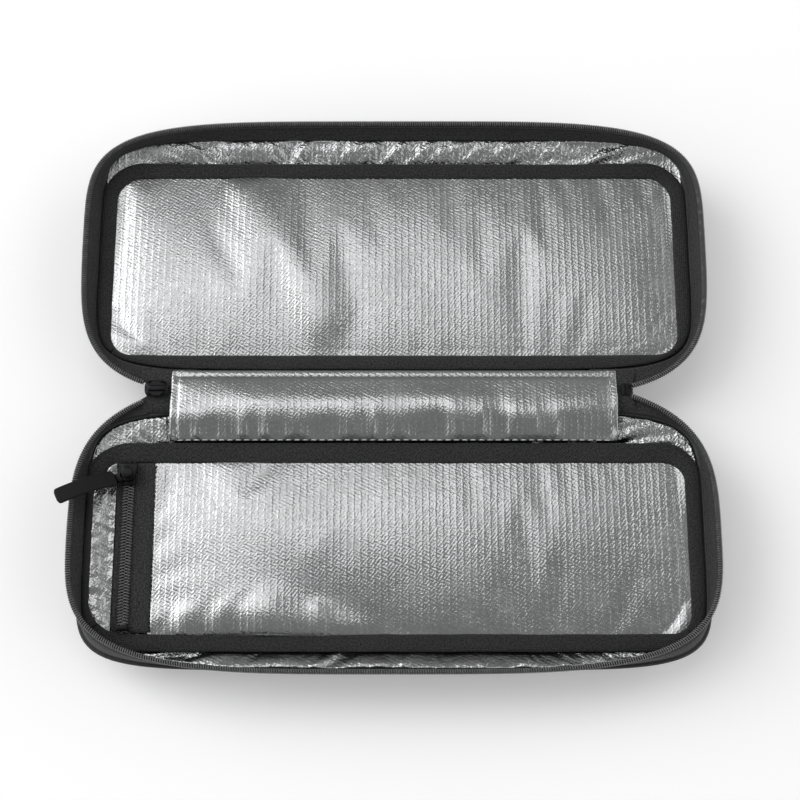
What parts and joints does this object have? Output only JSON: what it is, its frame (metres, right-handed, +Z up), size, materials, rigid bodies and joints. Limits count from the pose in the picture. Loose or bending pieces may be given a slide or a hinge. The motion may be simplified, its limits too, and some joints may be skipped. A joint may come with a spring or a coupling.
{
  "type": "insulin cooling case",
  "caption": "Soft zip-round clamshell case with an insulated, foil-lined base and lid, a padded foil pocket in each half, and a fabric spine that folds shut.",
  "frame": {"origin": "centre of the flat outer face of the base, which lies on the table", "axes": "+X along the fold, towards the end away from the pocket zip; +Y from the base towards the lid; +Z up, into the open case"},
  "size_m": [0.2236, 0.1976, 0.0297],
  "materials": {
    "cover_leatherette": "satin",
    "insulation_foam": "matte",
    "foil": "satin",
    "binding_tape": "matte",
    "zip_tape": "matte",
    "zip_coil": "satin",
    "slider_metal": "satin",
    "pull_rubber": "matte",
    "gel": "gloss"
  },
  "bodies": {
    "base": {"base_cover": "cover_leatherette", "base_insulation": "insulation_foam", "base_lining": "foil", "base_zip_tape": "zip_tape", "base_zip_coil": "zip_coil", "base_gel_pack": "gel", "base_pocket_panel": "foil", "base_pocket_side_strip": "foil", "base_pocket_top_binding": "binding_tape", "base_pocket_bottom_binding": "binding_tape", "pocket_zip_outer_tape": "zip_tape", "pocket_zip_inner_tape": "zip_tape", "pocket_zip_outer_coil": "zip_coil", "pocket_zip_inner_coil": "zip_coil", "pocket_zip_stop": "slider_metal", "spine_strip": "zip_tape", "hinge_flap": "foil", "main_zip_slider": "slider_metal", "main_zip_stop": "zip_coil"},
    "lid": {"lid_cover": "cover_leatherette", "lid_insulation": "insulation_foam", "lid_lining": "foil", "lid_zip_tape": "zip_tape", "lid_zip_coil": "zip_coil", "lid_gel_pack": "gel", "lid_pocket_panel": "foil", "lid_pocket_edge_binding": "binding_tape", "lid_pocket_hinge_binding": "binding_tape"},
    "pocket_slider": {"pocket_zip_slider": "slider_metal"},
    "pocket_pull": {"pocket_pull_link": "slider_metal", "pocket_pull_tab": "pull_rubber"},
    "main_pull": {"main_pull_link": "slider_metal", "main_pull_tab": "pull_rubber"}
  },
  "joints": [
    {"name": "lid_fold", "type": "hinge", "parent": "base", "child": "lid", "pos_m": [0, 0.0507, 0.026], "axis": [1, 0, 0], "range_deg": [0, 180], "deforming": ["spine_strip", "hinge_flap"]},
    {"name": "pocket_slide", "type": "slide", "parent": "base", "child": "pocket_slider", "axis": [0, 1, 0], "range_m": [-0.046, 0]},
    {"name": "pocket_pull_swing", "type": "hinge", "parent": "pocket_slider", "child": "pocket_pull", "pos_m": [-0.0909, 0.0206, 0.0192], "axis": [0, 0, 1], "range_deg": [0, 155]},
    {"name": "main_pull_swing", "type": "hinge", "parent": "base", "child": "main_pull", "pos_m": [-0.0825, 0.0507, 0.014], "axis": [0, 1, 0], "range_deg": [0, 150]}
  ],
  "couplings": [
    {"joint": "pocket_pull_swing", "follows": "lid_fold", "ratio": 0.86}
  ]
}
